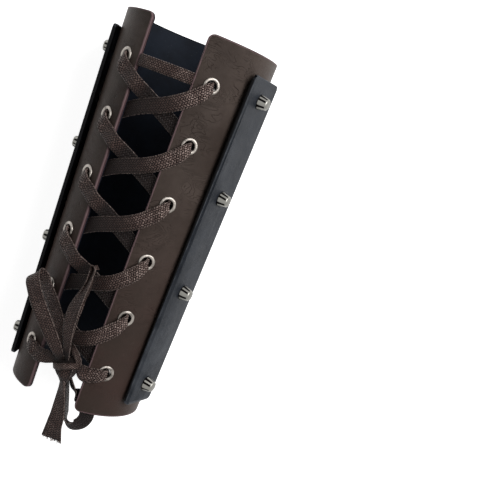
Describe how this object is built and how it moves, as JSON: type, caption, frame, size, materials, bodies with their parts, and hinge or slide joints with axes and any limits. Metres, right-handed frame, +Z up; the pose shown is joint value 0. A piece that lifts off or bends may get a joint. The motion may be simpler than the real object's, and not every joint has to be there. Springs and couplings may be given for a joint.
{
  "type": "leather bracer",
  "caption": "Tapered leather forearm guard with studded splints round its back and a slit up the front drawn together by a flat lace tied in a bow.",
  "frame": {"origin": "centre of the bounding box on the table, under the middle of the cuff; the loose lace is left out of that box", "axes": "+Z up, +Y along the forearm towards the elbow end, +X to the right as seen from above with the wrist end near; the laced slit faces up, turned 25 degrees towards -X, as the cuff lies on two rows of studs"},
  "size_m": [0.112, 0.264, 0.1055],
  "materials": {
    "leather": "smooth, semi-matt, creased by use",
    "lining": "matt, dark navy split leather",
    "splint": "stiff, smooth, black painted edges",
    "stud": "polished, slightly tarnished",
    "screw": "plain zinc",
    "eyelet": "nickel plated",
    "washer": "nickel plated",
    "lace": "waxed flat weave"
  },
  "bodies": {
    "root": {"outer_shell": "leather", "lining": "lining", "splint_outer_left": "splint", "splint_inner_left": "splint", "splint_centre": "splint", "splint_inner_right": "splint", "splint_outer_right": "splint", "stud_outer_left_1": "stud", "stud_outer_left_2": "stud", "stud_outer_left_3": "stud", "stud_outer_left_4": "stud", "stud_inner_left_1": "stud", "stud_inner_left_2": "stud", "stud_inner_left_3": "stud", "stud_inner_left_4": "stud", "stud_centre_1": "stud", "stud_centre_2": "stud", "stud_centre_3": "stud", "stud_centre_4": "stud", "stud_inner_right_1": "stud", "stud_inner_right_2": "stud", "stud_inner_right_3": "stud", "stud_inner_right_4": "stud", "stud_outer_right_1": "stud", "stud_outer_right_2": "stud", "stud_outer_right_3": "stud", "stud_outer_right_4": "stud", "stud_screws_outer_left": "screw", "stud_screws_inner_left": "screw", "stud_screws_centre": "screw", "stud_screws_inner_right": "screw", "stud_screws_outer_right": "screw", "eyelet_left_1": "eyelet", "eyelet_left_2": "eyelet", "eyelet_left_3": "eyelet", "eyelet_left_4": "eyelet", "eyelet_left_5": "eyelet", "eyelet_left_6": "eyelet", "eyelet_right_1": "eyelet", "eyelet_right_2": "eyelet", "eyelet_right_3": "eyelet", "eyelet_right_4": "eyelet", "eyelet_right_5": "eyelet", "eyelet_right_6": "eyelet", "eyelet_washers_left": "washer", "eyelet_washers_right": "washer", "lacing": "lace", "bow_knot": "lace", "bow_loop_left": "lace", "bow_loop_up": "lace", "lace_tail_down": "lace", "lace_tail_tucked": "lace"}
  },
  "joints": []
}
